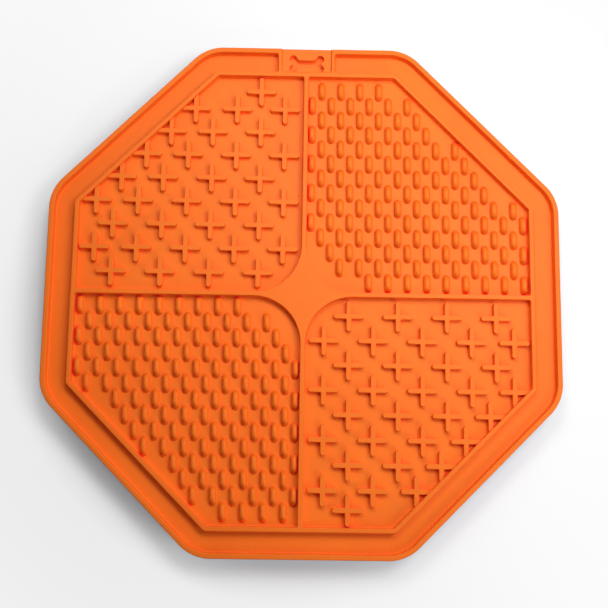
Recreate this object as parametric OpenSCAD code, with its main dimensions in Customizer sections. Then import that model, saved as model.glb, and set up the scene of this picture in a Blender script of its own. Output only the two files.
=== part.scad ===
// Octagonal lick mat for a dog or cat: an orange top moulding on a blue base with suction cups.
// The origin is under the middle of the mat, on the surface that the suction cups stand on.
// +Y points to the side with the bone-shaped recess, and +Z is up.

/* [Outline] */
// Width of the mat across its straight sides
mat_w = 210; // [190:1:230]
// Length of a side that lies along X or Y, between sharp corners
side_l = 84; // [76:1:92]
// Radius of the mat's corners
corner_r = 17.5; // [6:0.5:24]

/* [Layers] */
// Thickness of the orange floor
floor_t = 1; // [0.8:0.1:2.4]
// Thickness of the blue base layer
base_t = 2; // [1:0.1:4]
// How far the base layer's edge stays inside the orange edge
base_inset = 0.6; // [0.2:0.1:2]

/* [Rims and dividers] */
// Height of the rims and dividers above the orange floor
rim_h = 3.2; // [2.4:0.1:6]
// Width of the outer rim
outer_rim_w = 2.3; // [1.6:0.1:3]
// Width of the channel between the two rims
channel_w = 8; // [6:0.1:10]
// Width of the inner rim
inner_rim_w = 2.1; // [1.4:0.1:3]
// Radius of the inner rim's outer corners
inner_rim_r = 3; // [1:0.1:6]
// Radius of the corners of the floor inside the inner rim
field_r = 1.2; // [0.4:0.1:3]
// Width of the four dividers
divider_w = 2; // [1.4:0.1:3]
// Radius of the hollow arcs between the points of the centre star
star_arc_r = 19.3; // [12:0.1:24]

/* [Tab with the bone-shaped recess] */
// Width of the tab between its two walls
tab_panel_w = 20.8; // [18:0.2:26]
// Width of each wall beside the tab
tab_wall_w = 1.7; // [1:0.1:3]
// How far the tab's top lies below the rims
tab_drop = 0.7; // [0.2:0.1:1.6]
// Distance from the mat's edge to the middle of the bone-shaped recess
bone_edge = 6.45; // [6:0.05:6.6]
// Distance between the middles of the knobs along the bone
bone_l = 11.4; // [9:0.1:12.4]
// Distance between the middles of the knobs across the bone
bone_w = 4.2; // [3.8:0.1:4.4]
// Radius of the bone's knobs
bone_knob_r = 1.6; // [1.3:0.05:1.7]
// Width of the bone's shaft
bone_shaft_w = 3; // [2:0.1:3.2]
// Radius of the curves from the shaft to the knobs
bone_neck_r = 2; // [1.4:0.1:2.6]
// Distance from the middles of an end's two knobs to the middle of the notch's curve
bone_notch_x = 1.1; // [0.8:0.1:1.6]

/* [Plus-shaped studs] */
// Length of a stud from tip to tip
cross_l = 12.3; // [9:0.1:14]
// Width of a stud's arms
cross_w = 2; // [1.4:0.1:3]
// Height of a stud
cross_h = 2.3; // [1.4:0.1:2.4]
// Distance between neighbouring studs of one row
cross_pitch_x = 20; // [18:0.1:24]
// Distance between neighbouring rows
cross_pitch_y = 9.95; // [9:0.05:12]
// Distance from the mat's middle line to the first stud of the second row
cross_first_x = 8.7; // [8:0.1:10]
// Distance from the mat's middle line to the first row
cross_first_y = 8.7; // [8:0.05:10]
// Room that the outermost studs keep from the inner rim
cross_room = 0.5; // [0.3:0.1:1]
// How far a stud's arm tips may reach into the inner rim at a slanted side, where they are cut off
cross_bite = 0.75; // [0.4:0.05:1]
// A stud is left out where its place, before it is drawn in, is nearer than this to the inner rim
cross_keep = 1.5; // [0.5:0.1:1.9]

/* [Oval nubs] */
// Length of a nub
nub_l = 7.9; // [6:0.1:8.2]
// Width of a nub
nub_w = 2.5; // [1.6:0.1:2.8]
// Height of a nub's upright sides, below its round top
nub_side_h = 0.85; // [0.4:0.05:1.4]
// Distance between neighbouring nubs of one row
nub_pitch_x = 8; // [7.4:0.1:10]
// Distance between neighbouring rows
nub_pitch_y = 6.3; // [5.8:0.1:8]
// Distance from the mat's middle line to the first nub of the first row
nub_first_x = 2.7; // [2.6:0.1:4]
// Distance from the mat's middle line to the first row
nub_first_y = 5.3; // [5.2:0.1:7]
// Room that the nubs keep from the inner rim
nub_room = 0.15; // [0.1:0.05:0.4]
// Room that the nubs keep from the centre star
nub_star_room = 0.5; // [0.3:0.1:1]

/* [Suction cups] */
// Height of a cup from its lip to the base layer
cup_h = 5; // [4.6:0.1:7]
// Radius of a cup's lip
cup_r = 10; // [8:0.2:12]
// Width of the flat ring under the lip
cup_lip_w = 0.8; // [0.5:0.1:1.5]
// Height of the lip's upright edge
cup_edge_h = 0.5; // [0.3:0.1:0.8]
// Depth of the hollow under a cup
cup_hollow_h = 3; // [2:0.1:3.2]
// Thickness of a cup's dome over the hollow
cup_dome_t = 1; // [0.7:0.1:1.2]
// Radius of the neck that joins a cup to the base layer
cup_neck_r = 4; // [3:0.1:6]
// Distance between neighbouring cups
cup_pitch = 32; // [28:0.5:34]

/* [Hidden] */
$fn = 48;
// Steps of an arc that turns one of the mat's corners
corner_steps = 6;
// Steps of each arc of the bone and of a cup's profile
arc_steps = 8;
// Overrun of cuts that pass an edge
overrun = 1;

half_w = mat_w / 2;
diagonal_half_w = (half_w + side_l / 2) / sqrt(2);
base_z = cup_h;
floor_z = base_z + base_t;
top_z = floor_z + floor_t;
inner_rim_inset = outer_rim_w + channel_w;
field_inset = inner_rim_inset + inner_rim_w;
field_half = half_w - field_inset;
field_diagonal_half = diagonal_half_w - field_inset;
star_reach = star_arc_r + divider_w / 2;
tab_w = tab_panel_w + 2 * tab_wall_w;
tab_l = inner_rim_inset;
tab_h = rim_h - tab_drop;
bone_y = half_w - bone_edge;
nub_cap_r = nub_w / 2;
nub_cap_y = nub_l / 2 - nub_cap_r;

orange = [0.95, 0.45, 0.13];
light_orange = [0.98, 0.54, 0.2];
blue = [0.25, 0.68, 0.88];

// Distance from the mat's middle to side number k, which faces 45 * k degrees from +X
function side_distance(k, inset) = (k % 2 == 0 ? half_w : diagonal_half_w) - inset;

// Sharp corner between sides k and k + 1
function sharp_corner(k, inset) =
    let (a = 45 * k, b = a + 45, d = side_distance(k, inset), e = side_distance(k + 1, inset))
    [d * sin(b) - e * sin(a), e * cos(a) - d * cos(b)] / sin(45);

// The mat's outline, moved in by inset, with corners of radius r
function outline(inset, r) = [
    for (k = [0:7], step = [0:corner_steps])
        let (a = 45 * (k + step / corner_steps))
        sharp_corner(k, inset + r) + r * [cos(a), sin(a)]
];

function arc(centre, r, from, to) = [
    for (step = [0:arc_steps])
        let (a = from + (to - from) * step / arc_steps)
        centre + r * [cos(a), sin(a)]
];

function angle_to(from, to) = atan2(to[1] - from[1], to[0] - from[0]);

// A quarter of the bone's outline, from the middle of the shaft over one knob to the notch
function bone_quarter() =
    let (
        knob = [bone_l, bone_w] / 2,
        neck_y = bone_shaft_w / 2 + bone_neck_r,
        neck_x = knob[0] - sqrt(pow(bone_knob_r + bone_neck_r, 2) - pow(neck_y - knob[1], 2)),
        neck = [neck_x, neck_y],
        notch = [knob[0] + bone_notch_x, 0],
        notch_r = norm(notch - knob) - bone_knob_r
    )
    concat(
        arc(neck, bone_neck_r, -90, angle_to(neck, knob)),
        arc(knob, bone_knob_r, angle_to(knob, neck), angle_to(knob, notch)),
        arc(notch, notch_r, angle_to(notch, knob), 180)
    );

function mirrored(points, x, y) = [for (p = points) [p[0] * x, p[1] * y]];

function reversed(points) = [for (i = [len(points) - 1:-1:0]) points[i]];

// Places of the plus-shaped studs in one field, as distances from the mat's middle lines.
// The outermost ones are drawn in, so that they keep their room from the inner rim.
// A row that is drawn in along Y has only the studs that a slanted side doesn't draw in too.
cross_limit = field_half - cross_l / 2 - cross_room;
cross_slant_limit = (field_diagonal_half + cross_bite) * sqrt(2) - cross_l / 2;
cross_rows = floor((field_half - cross_keep - cross_first_y) / cross_pitch_y);
cross_columns = ceil(field_half / cross_pitch_x);
cross_places = [
    for (row = [0:cross_rows], column = [0:cross_columns])
        let (
            x = cross_first_x + (column + (row % 2 == 0 ? 0.5 : 0)) * cross_pitch_x,
            y = cross_first_y + row * cross_pitch_y,
            slant_room = field_diagonal_half - (x + y) / sqrt(2)
        )
        if (min(field_half - x, slant_room) >= cross_keep
            && (y <= cross_limit || x + y <= cross_slant_limit))
            [min(x, cross_limit, cross_slant_limit - y), min(y, cross_limit)]
];

// Places of the oval nubs in one field, where a nub is clear of the inner rim and the star
nub_rows = floor((field_half - nub_room - nub_l / 2 - nub_first_y) / nub_pitch_y);
nub_columns = ceil(field_half / nub_pitch_x);
nub_places = [
    for (row = [0:nub_rows], column = [0:nub_columns])
        let (
            x = nub_first_x + (column + (row % 2 == 0 ? 0 : 0.5)) * nub_pitch_x,
            y = nub_first_y + row * nub_pitch_y,
            near_end = [x, y - nub_cap_y],
            rim_room = field_diagonal_half - (x + y + nub_cap_y) / sqrt(2) - nub_cap_r,
            in_star_corner = x < star_reach && near_end[1] < star_reach,
            star_room = star_arc_r - norm(near_end - [star_reach, star_reach]) - nub_cap_r
        )
        if (x + nub_cap_r + nub_room <= field_half && rim_room >= nub_room
            && (!in_star_corner || star_room >= nub_star_room))
            [x, y]
];

module octagon(inset, r) {
    polygon(outline(inset, r));
}

module ring(inset, width, outer_r, inner_r) {
    difference() {
        octagon(inset, outer_r);
        octagon(inset + width, inner_r);
    }
}

module bone() {
    quarter = bone_quarter();
    translate([0, bone_y])
        polygon(concat(
            quarter,
            reversed(mirrored(quarter, 1, -1)),
            mirrored(quarter, -1, -1),
            reversed(mirrored(quarter, -1, 1))
        ));
}

// A rectangle from the inner rim to the mat's top edge, between two distances from the middle line
module tab_strip(from_x, to_x, past_edge) {
    translate([from_x, half_w - tab_l])
        square([to_x - from_x, tab_l + past_edge]);
}

module raised(height) {
    translate([0, 0, top_z])
        linear_extrude(height)
            children();
}

module mat_floor() {
    color(orange)
        translate([0, 0, floor_z])
            linear_extrude(floor_t)
                octagon(0, corner_r);
}

module outer_rim() {
    color(light_orange)
        raised(rim_h)
            difference() {
                ring(0, outer_rim_w, corner_r, max(corner_r - outer_rim_w, field_r));
                tab_strip(-tab_w / 2, tab_w / 2, overrun);
            }
}

module inner_rim() {
    color(light_orange)
        raised(rim_h)
            ring(inner_rim_inset, inner_rim_w, inner_rim_r, field_r);
}

module centre_star() {
    color(light_orange)
        raised(rim_h)
            difference() {
                square(2 * star_reach, center = true);
                for (x = [-1, 1], y = [-1, 1])
                    translate([x, y] * star_reach)
                        circle(star_arc_r);
            }
}

// A divider from the star to the inner rim, turned anticlockwise from +X
module divider(turn) {
    color(light_orange)
        raised(rim_h)
            rotate(turn)
                translate([star_reach, -divider_w / 2])
                    square([field_half - star_reach, divider_w]);
}

// The raised panel between the tab's walls; the orange floor shows through its bone-shaped cut
module bone_tab() {
    color(orange)
        raised(tab_h)
            difference() {
                tab_strip(-tab_panel_w / 2, tab_panel_w / 2, 0);
                bone();
            }
}

// The wall beside the tab, at -1 on the left and at 1 on the right
module tab_wall(side) {
    color(light_orange)
        raised(rim_h)
            mirror([side < 0 ? 1 : 0, 0])
                tab_strip(tab_panel_w / 2, tab_w / 2, 0);
}

module rounded_bar(length, width) {
    square([length - width, width], center = true);
    for (end = [-1, 1])
        translate([end * (length - width) / 2, 0])
            circle(width / 2);
}

// One field of plus-shaped studs, turned about the mat's middle from the lower right field
module cross_studs(turn) {
    color(light_orange)
        rotate(turn)
            raised(cross_h)
                intersection() {
                    octagon(field_inset, field_r);
                    for (place = cross_places)
                        translate([place[0], -place[1]]) {
                            rounded_bar(cross_l, cross_w);
                            rotate(90)
                                rounded_bar(cross_l, cross_w);
                        }
                }
}

// Half of a bar with ball ends, lying along Y on the plane z = 0
module nub_top() {
    rotate([90, 0, 0])
        rotate_extrude(angle = 180) {
            translate([0, -nub_cap_y])
                square([nub_cap_r, 2 * nub_cap_y]);
            intersection() {
                for (end = [-1, 1])
                    translate([0, end * nub_cap_y])
                        circle(nub_cap_r);
                translate([0, -nub_l])
                    square([nub_l, 2 * nub_l]);
            }
        }
}

module nub() {
    linear_extrude(nub_side_h)
        rotate(90)
            rounded_bar(nub_l, nub_w);
    translate([0, 0, nub_side_h])
        nub_top();
}

// One field of oval nubs, turned about the mat's middle from the upper right field
module oval_nubs(turn) {
    color(light_orange)
        rotate(turn)
            translate([0, 0, top_z])
                for (place = nub_places)
                    translate([place[0], place[1], 0])
                        nub();
}

module base_layer() {
    color(blue)
        translate([0, 0, base_z])
            linear_extrude(base_t)
                octagon(base_inset, corner_r - base_inset);
}

// A suction cup: a dome over a hollow, with a flat lip and a neck
module cup() {
    hollow_r = cup_r - cup_lip_w;
    dome_h = cup_hollow_h + cup_dome_t - cup_edge_h;
    neck_angle = acos(cup_neck_r / cup_r);
    hollow = [
        for (step = [0:arc_steps])
            let (a = 90 - 90 * step / arc_steps)
            [hollow_r * cos(a), cup_hollow_h * sin(a)]
    ];
    dome = [
        for (step = [0:arc_steps])
            let (a = neck_angle * step / arc_steps)
            [cup_r * cos(a), cup_edge_h + dome_h * sin(a)]
    ];
    rotate_extrude()
        polygon(concat(hollow, [[cup_r, 0]], dome, [[cup_neck_r, cup_h], [0, cup_h]]));
}

// One square ring of cups about the middle: 0 is the innermost.
// A cup that would reach past a slanted side is left out.
module suction_cups(ring_number) {
    reach = ring_number + 0.5;
    color(blue)
        for (i = [-reach:reach], j = [-reach:reach])
            if (max(abs(i), abs(j)) == reach
                && (abs(i) + abs(j)) * cup_pitch / sqrt(2) + cup_r <= diagonal_half_w - base_inset)
                translate([i * cup_pitch, j * cup_pitch, 0])
                    cup();
}

mat_floor();
outer_rim();
inner_rim();
centre_star();
divider(90);  // divider_top
divider(-90);  // divider_bottom
divider(180);  // divider_left
divider(0);  // divider_right
bone_tab();
tab_wall(-1);  // tab_wall_left
tab_wall(1);  // tab_wall_right
cross_studs(180);  // cross_studs_upper_left
cross_studs(0);  // cross_studs_lower_right
oval_nubs(0);  // oval_nubs_upper_right
oval_nubs(180);  // oval_nubs_lower_left
base_layer();
suction_cups(0);  // suction_cups_inner
suction_cups(1);  // suction_cups_middle
suction_cups(2);  // suction_cups_outer
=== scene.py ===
import math

import bpy
import numpy as np
from mathutils import Euler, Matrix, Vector
from mathutils.geometry import tessellate_polygon


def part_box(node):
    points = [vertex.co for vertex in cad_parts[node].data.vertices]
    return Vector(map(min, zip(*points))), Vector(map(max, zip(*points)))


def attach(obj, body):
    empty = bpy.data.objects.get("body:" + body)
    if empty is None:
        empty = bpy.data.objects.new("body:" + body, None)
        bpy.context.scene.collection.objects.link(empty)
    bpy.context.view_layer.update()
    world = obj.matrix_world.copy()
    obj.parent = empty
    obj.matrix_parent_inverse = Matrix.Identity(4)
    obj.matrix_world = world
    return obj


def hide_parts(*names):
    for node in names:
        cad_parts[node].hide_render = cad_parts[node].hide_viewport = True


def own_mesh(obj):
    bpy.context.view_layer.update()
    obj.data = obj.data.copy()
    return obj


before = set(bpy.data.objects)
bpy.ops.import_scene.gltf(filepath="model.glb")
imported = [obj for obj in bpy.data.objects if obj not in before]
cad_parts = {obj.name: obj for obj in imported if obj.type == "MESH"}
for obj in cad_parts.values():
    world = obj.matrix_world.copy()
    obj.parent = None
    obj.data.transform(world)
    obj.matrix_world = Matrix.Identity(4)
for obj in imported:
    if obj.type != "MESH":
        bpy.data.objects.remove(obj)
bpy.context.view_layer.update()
mm = 0.001


def low(node, axis):
    return round(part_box(node)[0][axis] / mm, 3)


def high(node, axis):
    return round(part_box(node)[1][axis] / mm, 3)


# Sizes read from the frame
X, Y, Z = range(3)
half_w = high("mat_floor", X)
base_half_w = high("base_layer", X)
base_z = low("base_layer", Z)
floor_z = low("mat_floor", Z)
top_z = high("mat_floor", Z)
rim_z = high("outer_rim", Z)
tab_z = high("bone_tab", Z)
cross_z = high("cross_studs_lower_right", Z)
nub_z = high("oval_nubs_upper_right", Z)
inner_rim_half = high("inner_rim", X)
field_half = high("divider_right", X)
divider_half_w = high("divider_right", Y)
star_reach = high("centre_star", X)
tab_half = high("bone_tab", X)
tab_back = low("bone_tab", Y)
tab_wall_half = high("tab_wall_right", X)

# Sizes of the moulding that no box gives
side_l = 84
corner_r = 17.5
outer_rim_w = 2.3
inner_rim_r = 3
field_r = 1.2
bone_edge = 6.45
bone_l = 11.4
bone_w = 4.2
bone_knob_r = 1.6
bone_shaft_w = 3
bone_neck_r = 2
bone_notch_x = 1.1
cross_l = 12.3
cross_w = 2
cross_pitch = (20, 9.95)
cross_first = (8.7, 8.7)
cross_room = 0.5
cross_bite = 0.75
cross_keep = 1.5
nub_l = 7.9
nub_w = 2.5
nub_pitch = (8, 6.3)
nub_first = (2.7, 5.3)
nub_room = 0.15
nub_star_room = 0.5
cup_r = 10
cup_lip_w = 0.8
cup_edge_h = 0.5
cup_hollow_h = 3
cup_dome_t = 1
cup_neck_r = 4
cup_pitch = 32

# Edges, drafts and fillets that the moulding has beyond the frame's plain solids
rim_edge_r = 0.25
rim_draft = 0.1
channel_edge_r = 0.4
channel_draft = 0.2
outer_edge_r = 0.5
tab_edge_r = 0.4
bone_edge_r = 0.25
bone_fillet_r = 0.15
bone_ledge_w = 0.45
bone_ledge_h = 0.4
bone_ledge_edge_r = 0.12
fillet_r = 0.4
divider_end_r = 0.7
tab_corner_r = 1
cross_edge_r = 0.2
cross_flare = 0.1
cross_inner_r = 0.25
cross_fillet_r = 0.3
nub_fillet_r = 0.2
nub_dome_power = 2.2
nub_dome_degrees = (12, 24, 36, 47, 57, 66, 74, 80, 86)
nub_ridge_power = 0.9
nub_flare = 0.2
base_edge_r = 0.5
cup_edge_r = 0.2
cup_hollow_degrees = (87, 80, 72, 63, 54, 45, 36, 27, 18, 10)
cup_neck_fillet_r = 0.8
cup_top_fillet_r = 0.5
# How far hidden edges go into the piece beside them, and how far fillets lie under the floor's face
sunk = 0.3
hair = 0.002
# How near another surface has to be for the painted shade in corners
painted_shade_reach = 1.4

# The table's half side in metres, and its tone
table_half = 3
table_tone = 0.95
# What share of plain white the camera sees on the table, by distance from the mat's middle in metres
table_white_shares = [(0.1, 0.1), (0.11, 0.2), (0.125, 0.6), (0.2, 0.85), (0.4, 1)]
# A lamp's side against its distance
softbox_size_share = 0.4

diagonal_half_w = (half_w + side_l / 2) / math.sqrt(2)
inner_rim_inset = half_w - inner_rim_half
field_inset = half_w - field_half
field_diagonal_half = diagonal_half_w - field_inset
base_inset = half_w - base_half_w
bone_y = half_w - bone_edge
star_arc_r = star_reach - divider_half_w


class Shell:
    """The points and faces of one piece, in millimetres, with a shading normal for each face corner"""

    def __init__(self):
        self.points, self.faces, self.normals = [], [], []

    def add(self, flat, z):
        first = len(self.points)
        self.points.extend((float(x), float(y), float(z)) for x, y in flat)
        return list(range(first, len(self.points)))

    def face(self, corners, normals):
        self.faces.append(corners)
        self.normals.extend(tuple(float(v) for v in n) for n in normals)

    def strip(self, below, above, below_shade, above_shade):
        """Joins two closed rows of points that run anticlockwise as seen from above"""
        for i in range(len(below)):
            j = (i + 1) % len(below)
            self.face(
                [below[i], below[j], above[j], above[i]],
                [below_shade[i], below_shade[j], above_shade[j], above_shade[i]],
            )

    def loft(self, rows):
        """Joins closed rows (points, z, shading normals), the first one lowest on an outer wall"""
        ids = [self.add(points, z) for points, z, _ in rows]
        for i in range(len(rows) - 1):
            self.strip(ids[i], ids[i + 1], rows[i][2], rows[i + 1][2])
        return ids[0], ids[-1]

    def wall(self, outline, profile):
        """Carries an outline through the rows (out, z, normal out, normal z) of a profile"""
        points, normals = outline
        return self.loft([
            (points + normals * out, z, np.c_[normals * n_out, np.full(len(points), n_z)])
            for out, z, n_out, n_z in profile
        ])

    def cap(self, loops, up, shade=None):
        """A flat face inside the first loop and outside the others"""
        order = [i for loop in loops for i in loop]
        flat = [[Vector((self.points[i][X], self.points[i][Y], 0)) for i in loop] for loop in loops]
        plain = (0, 0, 1 if up else -1)
        for corners in tessellate_polygon(flat):
            a, b, c = (self.points[order[i]] for i in corners)
            turn = (b[X] - a[X]) * (c[Y] - a[Y]) - (b[Y] - a[Y]) * (c[X] - a[X])
            corners = corners if (turn > 0) == up else corners[::-1]
            shades = [plain if shade is None else shade[i] for i in corners]
            self.face([order[i] for i in corners], shades)

    def make(self, name, material, body, slot, *nodes):
        mesh = bpy.data.meshes.new(name)
        mesh.from_pydata([tuple(v * mm for v in p) for p in self.points], [], self.faces)
        mesh.polygons.foreach_set("use_smooth", [True] * len(mesh.polygons))
        mesh.normals_split_custom_set(self.normals)
        mesh.materials.append(material)
        piece = bpy.data.objects.new(name, mesh)
        bpy.context.scene.collection.objects.link(piece)
        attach(piece, body)
        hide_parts(*nodes)
        return piece


def spokes(first, last, steps):
    """Unit vectors from one angle to another, in radians"""
    angles = np.linspace(first, last, steps + 1)
    return np.c_[np.cos(angles), np.sin(angles)]


def bend(out, z, radius, first, last, steps, hollow=False):
    """Profile rows along an arc, with angles in degrees; a hollow arc is shaded towards its centre"""
    rays = spokes(math.radians(first), math.radians(last), steps)
    side = -1 if hollow else 1
    return [(out + radius * c, z + radius * s, side * c, side * s) for c, s in rays]


def rounded(corners):
    """A closed outline, as points and outward normals, from corners (point, radius, steps)"""
    points, normals = [], []
    for i, (corner, radius, steps) in enumerate(corners):
        before = np.subtract(corner, corners[i - 1][0])
        after = np.subtract(corners[(i + 1) % len(corners)][0], corner)
        before = before / np.linalg.norm(before)
        after = after / np.linalg.norm(after)
        turn = math.atan2(before[X] * after[Y] - before[Y] * after[X], before @ after)
        side = 1 if turn > 0 else -1
        left = np.array([-before[Y], before[X]])
        centre = corner - before * radius * math.tan(abs(turn) / 2) + side * radius * left
        first = math.atan2(-side * left[Y], -side * left[X])
        rays = spokes(first, first + turn, steps)
        points.append(centre + radius * rays)
        normals.append(side * rays)
    return np.concatenate(points), np.concatenate(normals)


def hole(outline):
    """The same outline as the edge of a hole, with normals that point into the hole"""
    points, normals = outline
    return points[::-1], -normals[::-1]


def turned(outline, quarter_turns):
    a = quarter_turns * math.pi / 2
    matrix = np.array([[math.cos(a), math.sin(a)], [-math.sin(a), math.cos(a)]])
    return tuple(part @ matrix for part in outline)


def sharp_corner(k, inset):
    """The corner between sides k and k + 1 of the octagon, where side k faces 45 * k degrees from +X"""
    a, b = math.radians(45 * k), math.radians(45 * (k + 1))
    d, e = ((half_w if side % 2 == 0 else diagonal_half_w) - inset for side in (k, k + 1))
    corner = [d * math.sin(b) - e * math.sin(a), e * math.cos(a) - d * math.cos(b)]
    return np.array(corner) / math.sin(math.pi / 4)


def octagon(inset, radius, steps, order=range(8)):
    return [(sharp_corner(k, inset), radius, steps) for k in order]


def bone():
    """Outline of the bone-shaped recess, from one quarter: neck, knob and notch"""
    knob = np.array([bone_l, bone_w]) / 2
    neck_y = bone_shaft_w / 2 + bone_neck_r
    neck_x = knob[X] - math.sqrt((bone_knob_r + bone_neck_r) ** 2 - (neck_y - knob[Y]) ** 2)
    neck = np.array([neck_x, neck_y])
    notch = np.array([knob[X] + bone_notch_x, 0])
    notch_r = np.linalg.norm(notch - knob) - bone_knob_r

    def angle(start, end):
        return math.atan2(end[Y] - start[Y], end[X] - start[X])

    arcs = [
        (neck, bone_neck_r, -math.pi / 2, angle(neck, knob), 8, -1),
        (knob, bone_knob_r, angle(knob, neck), angle(knob, notch), 18, 1),
        (notch, notch_r, angle(notch, knob), math.pi, 5, -1),
    ]
    points, normals = [], []
    for centre, radius, first, last, steps, side in arcs:
        rays = spokes(first, last, steps)
        points.append(centre + radius * rays)
        normals.append(side * rays)
    quarters = [([1, 1], 1), ([1, -1], -1), ([-1, -1], 1), ([-1, 1], -1)]
    points, normals = (
        np.concatenate([(np.concatenate(part) * flip)[::order] for flip, order in quarters])[::-1]
        for part in (points, normals)
    )
    return points + [0, bone_y], normals


def channel():
    """The channel between the rims, from the wall on the tab's left round to the one on its right"""
    outer_y = half_w - outer_rim_w
    return rounded([
        ((-tab_wall_half, outer_y), divider_end_r, 6),
        *octagon(outer_rim_w, corner_r - outer_rim_w, 16, [2, 3, 4, 5, 6, 7, 0, 1]),
        ((tab_wall_half, outer_y), divider_end_r, 6),
        ((tab_wall_half, inner_rim_half), divider_end_r, 6),
        *octagon(inner_rim_inset, inner_rim_r, 10, [1, 0, 7, 6, 5, 4, 3, 2]),
        ((-tab_wall_half, inner_rim_half), divider_end_r, 6),
    ])


def field():
    """The upper right field; its corner at the mat's middle is one of the star's arcs"""
    return rounded([
        ((divider_half_w, divider_half_w), star_arc_r, 40),
        ((field_half, divider_half_w), divider_end_r, 6),
        *octagon(field_inset, field_r, 8, [0, 1]),
        ((divider_half_w, field_half), divider_end_r, 6),
    ])


def plus(length, width, inner_r):
    """Outline of a plus with round arm tips and small curves where the arms meet"""
    tip = spokes(-math.pi / 2, math.pi / 2, 8)
    inner = spokes(-math.pi / 2, -math.pi, 3)
    arm = np.concatenate([
        width / 2 * tip + [(length - width) / 2, 0],
        width / 2 + inner_r + inner_r * inner,
    ])
    arms = [turned((arm, np.concatenate([tip, -inner])), k) for k in range(4)]
    return tuple(np.concatenate(part) for part in zip(*arms))


def floor_plate(material):
    """The floor, whose edge is hidden in the outer rim"""
    shell = Shell()
    edge = [(-outer_rim_w / 2, z, 1, 0) for z in (floor_z, top_z)]
    bottom, top = shell.wall(rounded(octagon(0, corner_r, 16)), edge)
    shell.cap([top], True)
    shell.cap([bottom], False)
    shell.make("floor_plate", material, "mat", "orange_silicone", "mat_floor")


def rims_and_dividers(material):
    """Outer rim, inner rim, dividers, star and the walls beside the tab, which run into each other"""
    shell = Shell()
    tab_corners = [
        ((tab_half, half_w), outer_edge_r + hair, 6),
        ((tab_half, tab_back), tab_corner_r, 8),
        ((-tab_half, tab_back), tab_corner_r, 8),
        ((-tab_half, half_w), outer_edge_r + hair, 6),
    ]
    corners = octagon(0, corner_r, 16)
    outer_edge = rounded([*corners[:2], *tab_corners, *corners[2:]])
    edge_rows = [
        (0, floor_z, 1, 0),
        *bend(-outer_edge_r, rim_z - outer_edge_r, outer_edge_r, 0, 90, 8),
    ]

    def wall_rows(draft, edge_r):
        return [
            (fillet_r, floor_z, 1, 0),
            *bend(fillet_r, top_z - hair + fillet_r, fillet_r, 270, 180, 6, hollow=True),
            *bend(-draft - edge_r, rim_z - edge_r, edge_r, 0, 90, 6),
        ]

    loops = [shell.wall(outer_edge, edge_rows)]
    loops.append(shell.wall(hole(channel()), wall_rows(channel_draft, channel_edge_r)))
    for quarter in range(4):
        loops.append(shell.wall(hole(turned(field(), quarter)), wall_rows(rim_draft, rim_edge_r)))
    shell.cap([top for _, top in loops], True)
    shell.cap([bottom for bottom, _ in loops], False)
    shell.make(
        "rims_and_dividers", material, "mat", "orange_silicone",
        "outer_rim", "inner_rim", "centre_star", "divider_top", "divider_bottom",
        "divider_left", "divider_right", "tab_wall_left", "tab_wall_right",
    )


def tab_panel(material):
    """The tab's panel, with a bone-shaped recess down to the floor and a narrow ledge round its foot"""
    shell = Shell()
    x, back = tab_half + sunk, tab_back - sunk
    block = rounded([
        ((-x, back), hair, 1), ((x, back), hair, 1),
        ((x, half_w), hair, 1), ((-x, half_w), hair, 1),
    ])
    edge_rows = [
        (0, floor_z, 1, 0),
        *bend(-tab_edge_r, tab_z - tab_edge_r, tab_edge_r, 0, 90, 8),
    ]
    ledge_z = top_z + bone_ledge_h
    ledge_out = bone_ledge_w - bone_ledge_edge_r
    bone_rows = [
        (bone_ledge_w, floor_z, 1, 0),
        *bend(ledge_out, ledge_z - bone_ledge_edge_r, bone_ledge_edge_r, 0, 90, 3),
        *bend(bone_fillet_r, ledge_z + bone_fillet_r, bone_fillet_r, 270, 180, 4, hollow=True),
        *bend(-bone_edge_r, tab_z - bone_edge_r, bone_edge_r, 0, 90, 5),
    ]
    bottom, top = shell.wall(block, edge_rows)
    bone_bottom, bone_top = shell.wall(hole(bone()), bone_rows)
    shell.cap([top, bone_top], True)
    shell.cap([bottom, bone_bottom], False)
    shell.make("tab_panel", material, "mat", "orange_silicone", "bone_tab")


def cross_places():
    """Places of the plus-shaped studs in one field, as distances from the mat's middle lines"""
    limit = field_half - cross_l / 2 - cross_room
    slant_limit = (field_diagonal_half + cross_bite) * math.sqrt(2) - cross_l / 2
    rows = int((field_half - cross_keep - cross_first[Y]) / cross_pitch[Y])
    for row in range(rows + 1):
        y = cross_first[Y] + row * cross_pitch[Y]
        for column in range(int(field_half / cross_pitch[X]) + 1):
            x = cross_first[X] + (column + (0.5 if row % 2 == 0 else 0)) * cross_pitch[X]
            room = min(field_half - x, field_diagonal_half - (x + y) / math.sqrt(2))
            if room >= cross_keep and (y <= limit or x + y <= slant_limit):
                yield min(x, limit, slant_limit - y), min(y, limit)


def nub_places():
    """Places of the oval nubs in one field, where a nub is clear of the inner rim and the star"""
    cap_r = nub_w / 2
    cap_y = nub_l / 2 - cap_r
    rows = int((field_half - nub_room - nub_l / 2 - nub_first[Y]) / nub_pitch[Y])
    for row in range(rows + 1):
        y = nub_first[Y] + row * nub_pitch[Y]
        for column in range(int(field_half / nub_pitch[X]) + 1):
            x = nub_first[X] + (column + (0 if row % 2 == 0 else 0.5)) * nub_pitch[X]
            near_y = y - cap_y
            rim_room = field_diagonal_half - (x + y + cap_y) / math.sqrt(2) - cap_r
            in_star_corner = x < star_reach and near_y < star_reach
            star_room = star_arc_r - math.hypot(x - star_reach, near_y - star_reach) - cap_r
            clear = x + cap_r + nub_room <= field_half and rim_room >= nub_room
            if clear and (not in_star_corner or star_room >= nub_star_room):
                yield x, y


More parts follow.
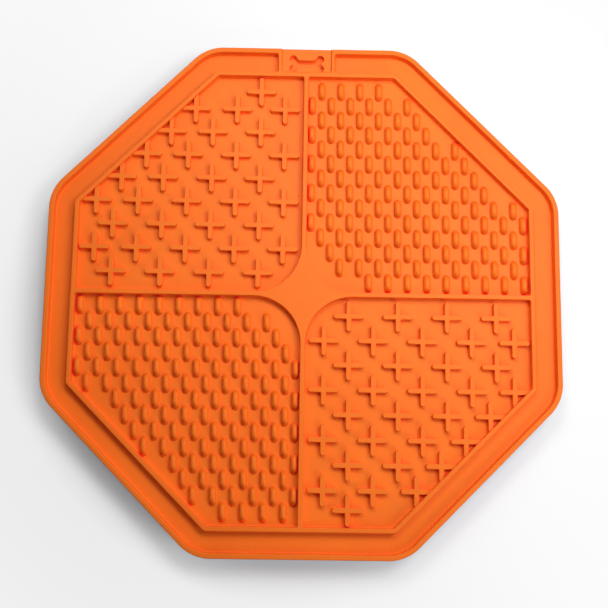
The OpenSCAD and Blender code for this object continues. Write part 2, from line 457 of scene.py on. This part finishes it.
def plus_studs(material, corner, side):
    """One field of plus-shaped studs: side is 1 for the lower right field and -1 for the upper left"""
    shell = Shell()
    foot = cross_flare + cross_fillet_r
    profile = [
        (foot, top_z - sunk, 1, 0),
        *bend(foot, top_z - hair + cross_fillet_r, cross_fillet_r, 270, 180, 4, hollow=True),
        *bend(-cross_edge_r, cross_z - cross_edge_r, cross_edge_r, 0, 90, 4),
    ]
    for x, y in cross_places():
        rows = []
        for out, z, n_out, n_z in profile:
            points, normals = plus(cross_l + 2 * out, cross_w + 2 * out, cross_inner_r)
            shade = np.c_[normals * n_out, np.full(len(points), n_z)]
            rows.append((points + [side * x, -side * y], z, shade))
        bottom, top = shell.loft(rows)
        shell.cap([top], True)
        shell.cap([bottom], False)
    shell.make("plus_studs_" + corner, material, "mat", "orange_silicone", "cross_studs_" + corner)


def nub_rows():
    """Rows (points, z, shading normals) of a nub at the middle: a domed oval on a small fillet

    The half circles at its ends draw together as the rows rise, so its ridge falls towards both ends.
    """
    half = nub_w / 2 + nub_flare
    height = nub_z - top_z
    ends = [spokes(0, math.pi, 9), spokes(math.pi, 2 * math.pi, 9)]
    rays = np.concatenate(ends)
    end_y = nub_l / 2 - half
    middles = np.repeat([[0, end_y], [0, -end_y]], [len(end) for end in ends], axis=0)
    foot = half + nub_fillet_r
    power = 2 / nub_dome_power
    profile = [(foot, top_z - sunk, 1, 0)]
    profile += bend(foot, top_z - hair + nub_fillet_r, nub_fillet_r, 270, 180, 3, hollow=True)
    for degrees in nub_dome_degrees:
        a = math.radians(degrees)
        c, h = math.cos(a), math.sin(a)
        slope = np.array([c ** (2 - power) / half, h ** (2 - power) / height])
        slope = slope / np.linalg.norm(slope)
        profile.append((half * c ** power, top_z + height * h ** power, *slope))
    rows = []
    for out, z, n_out, n_z in profile:
        drawn = middles * min(1, out / half) ** nub_ridge_power
        rows.append((drawn + rays * out, z, np.c_[rays * n_out, np.full(len(rays), n_z)]))
    return rows


def nubs(material, corner, side):
    """One field of oval nubs: side is 1 for the upper right field and -1 for the lower left"""
    shell = Shell()
    rows = nub_rows()
    for x, y in nub_places():
        place = [side * x, side * y]
        bottom, top = shell.loft([(points + place, z, shade) for points, z, shade in rows])
        shell.cap([top], True, rows[-1][2])
        shell.cap([bottom], False)
    shell.make("nubs_" + corner, material, "mat", "orange_silicone", "oval_nubs_" + corner)


def base_plate(material):
    """The blue base, with a rounded lower edge"""
    shell = Shell()
    edge_rows = [
        *bend(-base_edge_r, base_z + base_edge_r, base_edge_r, -90, 0, 6),
        (0, floor_z, 1, 0),
    ]
    bottom, top = shell.wall(rounded(octagon(base_inset, corner_r - base_inset, 16)), edge_rows)
    shell.cap([top], True)
    shell.cap([bottom], False)
    shell.make("base_plate", material, "mat", "blue_silicone", "base_layer")


def cup_profile():
    """Rows (radius, z, normal out, normal z) from the top of the hollow round the lip to the neck"""
    hollow_r = cup_r - cup_lip_w
    dome_h = cup_hollow_h + cup_dome_t - cup_edge_h
    rows = []
    for degrees in cup_hollow_degrees:
        a = math.radians(degrees)
        n = np.array([math.cos(a) / hollow_r, math.sin(a) / cup_hollow_h])
        n = n / np.linalg.norm(n)
        rows.append((hollow_r * math.cos(a), cup_hollow_h * math.sin(a), -n[0], -n[1]))
    rows += bend(hollow_r + cup_edge_r, cup_edge_r, cup_edge_r, 180, 270, 3)
    rows += bend(cup_r - cup_edge_r, cup_edge_r, cup_edge_r, 270, 360, 4)
    neck_slope = 11
    fillet = math.radians(270 - neck_slope)
    dome_end = cup_neck_r + cup_neck_fillet_r * (1 + math.cos(fillet))
    for a in np.linspace(0, math.acos(dome_end / cup_r), 9):
        n = np.array([math.cos(a) / cup_r, math.sin(a) / dome_h])
        n = n / np.linalg.norm(n)
        rows.append((cup_r * math.cos(a), cup_edge_h + dome_h * math.sin(a), n[0], n[1]))
    neck_z = rows[-1][1] - cup_neck_fillet_r * math.sin(fillet)
    rows += bend(
        cup_neck_r + cup_neck_fillet_r, neck_z, cup_neck_fillet_r, 270 - neck_slope, 180, 4,
        hollow=True,
    )[1:]
    rows += bend(
        cup_neck_r + cup_top_fillet_r, base_z - cup_top_fillet_r, cup_top_fillet_r, 180, 90, 4,
        hollow=True,
    )
    rows.append((cup_neck_r + cup_top_fillet_r, base_z + sunk, 1, 0))
    return rows


def cups(material, place, ring):
    """One square ring of cups about the middle, without those that would pass a slanted side"""
    shell = Shell()
    profile = cup_profile()
    rays = spokes(0, 2 * math.pi, 48)[:-1]
    reach = ring + 0.5
    steps = np.arange(-reach, reach + 1)
    for i in steps:
        for j in steps:
            slanted = (abs(i) + abs(j)) * cup_pitch / math.sqrt(2) + cup_r
            if max(abs(i), abs(j)) < reach or slanted > diagonal_half_w - base_inset:
                continue
            middle = np.array([[i * cup_pitch, j * cup_pitch]] * len(rays))
            first, last = shell.wall((middle, rays), profile)
            n_out, n_z = profile[0][2:]
            shell.cap([first], False, np.c_[rays * n_out, np.full(len(rays), n_z)])
            shell.cap([last], True)
    node = "suction_cups_" + place
    piece = shell.make("cups_" + place, material, "suction_cups", "blue_silicone", node)
    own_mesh(piece)


def ramp(tree, value, stops):
    """Turns a value into a colour by stops (position, colour), in rising order"""
    node = tree.nodes.new("ShaderNodeValToRGB")
    tree.links.new(value, node.inputs["Fac"])
    elements = node.color_ramp.elements
    while len(elements) < len(stops):
        elements.new(0.5)
    for element, (position, colour) in zip(elements, stops):
        element.position = position
        element.color = (*colour, 1)
    return node.outputs["Color"]


def grey(level):
    return (level, level, level)


def silicone(name, colour, pale_colour, deep_colour, painted_shade_colour):
    """Matt silicone: slow changes of tone, painted shade in corners where other surfaces are near, fine
    grain and a few dust specks
    """
    material = bpy.data.materials.new(name)
    material.use_nodes = True
    tree = material.node_tree
    nodes, links = tree.nodes, tree.links
    shader = nodes["Principled BSDF"]
    place = nodes.new("ShaderNodeTexCoord").outputs["Object"]

    def noise(scale, detail, roughness):
        node = nodes.new("ShaderNodeTexNoise")
        node.inputs["Scale"].default_value = scale
        node.inputs["Detail"].default_value = detail
        node.inputs["Roughness"].default_value = roughness
        links.new(place, node.inputs["Vector"])
        return node.outputs["Fac"]

    def bump(height, strength, depth):
        node = nodes.new("ShaderNodeBump")
        node.inputs["Strength"].default_value = strength
        node.inputs["Distance"].default_value = depth
        links.new(height, node.inputs["Height"])
        return node

    def blend(share, tone, other):
        node = nodes.new("ShaderNodeMix")
        node.data_type = "RGBA"
        links.new(share, node.inputs["Factor"])
        links.new(tone, node.inputs["A"])
        node.inputs["B"].default_value = (*other, 1)
        return node.outputs["Result"]

    tone_stops = [(0.3, deep_colour), (0.5, colour), (0.7, pale_colour)]
    tone = ramp(tree, noise(38, 3, 0.55), tone_stops)

    # Painted shade: where other surfaces are near, as in corners and at the feet of walls, the tone turns
    # towards the painted shade colour
    openness = nodes.new("ShaderNodeAmbientOcclusion")
    openness.inputs["Distance"].default_value = painted_shade_reach * mm
    openness.samples = 6
    corner = ramp(tree, openness.outputs["AO"], [(0.35, grey(1)), (0.7, grey(0))])
    tone = blend(corner, tone, painted_shade_colour)

    specks = nodes.new("ShaderNodeTexVoronoi")
    specks.inputs["Scale"].default_value = 55
    links.new(place, specks.inputs["Vector"])
    speck_stops = [(0, grey(1)), (0.012, grey(0.6)), (0.02, grey(0))]
    speck = ramp(tree, specks.outputs["Distance"], speck_stops)
    speck_share = 0.25
    tone = blend(speck, tone, [v * speck_share for v in deep_colour])
    links.new(tone, shader.inputs["Base Color"])

    rough = ramp(tree, noise(900, 2, 0.6), [(0.3, grey(0.5)), (0.7, grey(0.62))])
    links.new(rough, shader.inputs["Roughness"])
    shader.inputs["IOR"].default_value = 1.41
    shader.inputs["Specular IOR Level"].default_value = 0.3

    grain = bump(noise(3200, 3, 0.6), strength=0.25, depth=0.04 * mm)
    sway = bump(noise(55, 2, 0.5), strength=0.15, depth=0.2 * mm)
    links.new(sway.outputs["Normal"], grain.inputs["Normal"])
    links.new(grain.outputs["Normal"], shader.inputs["Normal"])
    return material


def seen_directly(tree):
    """1 for what the camera sees, straight or by reflection or through glass, and 0 for light on the mat"""
    rays = tree.nodes.new("ShaderNodeLightPath").outputs
    value = rays["Is Camera Ray"]
    for ray in ("Is Glossy Ray", "Is Transmission Ray"):
        larger = tree.nodes.new("ShaderNodeMath")
        larger.operation = "MAXIMUM"
        tree.links.new(value, larger.inputs[0])
        tree.links.new(rays[ray], larger.inputs[1])
        value = larger.outputs["Value"]
    return value


def table():
    """The pale table top, which turns white away from the mat where the camera sees it"""
    mesh = bpy.data.meshes.new("table_top")
    corners = [(x * table_half, y * table_half, 0) for x, y in ((-1, -1), (1, -1), (1, 1), (-1, 1))]
    mesh.from_pydata(corners, [], [(0, 1, 2, 3)])
    top = bpy.data.objects.new("table_top", mesh)
    bpy.context.scene.collection.objects.link(top)
    material = bpy.data.materials.new("white_table")
    material.use_nodes = True
    tree = material.node_tree
    nodes, links = tree.nodes, tree.links
    shader = nodes["Principled BSDF"]
    shader.inputs["Base Color"].default_value = (*grey(table_tone), 1)
    shader.inputs["Roughness"].default_value = 0.7
    distance = nodes.new("ShaderNodeVectorMath")
    distance.operation = "LENGTH"
    links.new(nodes.new("ShaderNodeTexCoord").outputs["Object"], distance.inputs[0])
    white_stops = [(metres, grey(share)) for metres, share in table_white_shares]
    seen_share = nodes.new("ShaderNodeMath")
    seen_share.operation = "MULTIPLY"
    links.new(seen_directly(tree), seen_share.inputs[0])
    links.new(ramp(tree, distance.outputs["Value"], white_stops), seen_share.inputs[1])
    white = nodes.new("ShaderNodeEmission")
    mix = nodes.new("ShaderNodeMixShader")
    links.new(seen_share.outputs["Value"], mix.inputs[0])
    links.new(shader.outputs["BSDF"], mix.inputs[1])
    links.new(white.outputs["Emission"], mix.inputs[2])
    links.new(mix.outputs["Shader"], nodes["Material Output"].inputs["Surface"])
    mesh.materials.append(material)


def surround(strength):
    world = bpy.data.worlds.new("studio")
    bpy.context.scene.world = world
    world.use_nodes = True
    nodes, links = world.node_tree.nodes, world.node_tree.links
    fill = nodes["Background"]
    fill.inputs["Color"].default_value = (1, 1, 1, 1)
    fill.inputs["Strength"].default_value = strength
    seen = nodes.new("ShaderNodeBackground")
    seen.inputs["Color"].default_value = (1, 1, 1, 1)
    seen.inputs["Strength"].default_value = 1
    mix = nodes.new("ShaderNodeMixShader")
    links.new(seen_directly(world.node_tree), mix.inputs["Fac"])
    links.new(fill.outputs["Background"], mix.inputs[1])
    links.new(seen.outputs["Background"], mix.inputs[2])
    links.new(mix.outputs["Shader"], nodes["World Output"].inputs["Surface"])


def softbox(name, bearing, elevation, distance, level):
    """A square lamp aimed at the mat's middle, from a bearing in degrees anticlockwise from +X

    By itself it lights a white floor there to the level, where 1 is white. The distance is in metres.
    """
    a, e = math.radians(bearing), math.radians(elevation)
    away = Vector((math.cos(a) * math.cos(e), math.sin(a) * math.cos(e), math.sin(e)))
    lamp = bpy.data.lights.new(name, "AREA")
    lamp.shape = "SQUARE"
    lamp.size = distance * softbox_size_share
    lamp.energy = level * (math.pi * distance) ** 2 / math.sin(e)
    holder = bpy.data.objects.new(name, lamp)
    holder.location = away * distance
    holder.rotation_euler = away.to_track_quat("Z", "Y").to_euler()
    holder.visible_camera = False
    bpy.context.scene.collection.objects.link(holder)


def camera():
    """The photograph's viewpoint: over the mat's lower half, leaning a little forward"""
    lens, sensor = 53.74, 36
    place = (-3.3, -57.5, 375.3)
    lean = (8.33, -0.70, 0.84)
    data = bpy.data.cameras.new("camera")
    data.lens, data.sensor_width = lens, sensor
    data.clip_start, data.clip_end = 0.01, 20
    holder = bpy.data.objects.new("camera", data)
    holder.location = [v * mm for v in place]
    holder.rotation_euler = Euler([math.radians(v) for v in lean])
    bpy.context.scene.collection.objects.link(holder)
    bpy.context.scene.camera = holder


camera()
surround(0.06)
softbox("window_north", 90, 60, 0.29, 0.4)
softbox("window_east", 20, 58, 0.29, 0.42)
softbox("window_south_east", -45, 32, 0.4, 0.13)
softbox("window_north_west", 135, 35, 0.4, 0.04)
table()

# Plain, pale and deep tones, then the painted shade tone for corners
orange_tones = [(0.93, 0.174, 0.011), (0.95, 0.184, 0.012), (0.91, 0.164, 0.01), (0.95, 0.055, 0.035)]
blue_tones = [(0.03, 0.46, 0.86), (0.04, 0.49, 0.89), (0.03, 0.43, 0.82), (0.02, 0.4, 0.86)]
orange = silicone("orange_silicone", *orange_tones)
blue = silicone("blue_silicone", *blue_tones)
floor_plate(orange)
rims_and_dividers(orange)
tab_panel(orange)
plus_studs(orange, "upper_left", -1)
plus_studs(orange, "lower_right", 1)
nubs(orange, "upper_right", 1)
nubs(orange, "lower_left", -1)
base_plate(blue)
for ring, place in enumerate(["inner", "middle", "outer"]):
    cups(blue, place, ring)

bpy.context.scene.view_settings.view_transform = "Standard"
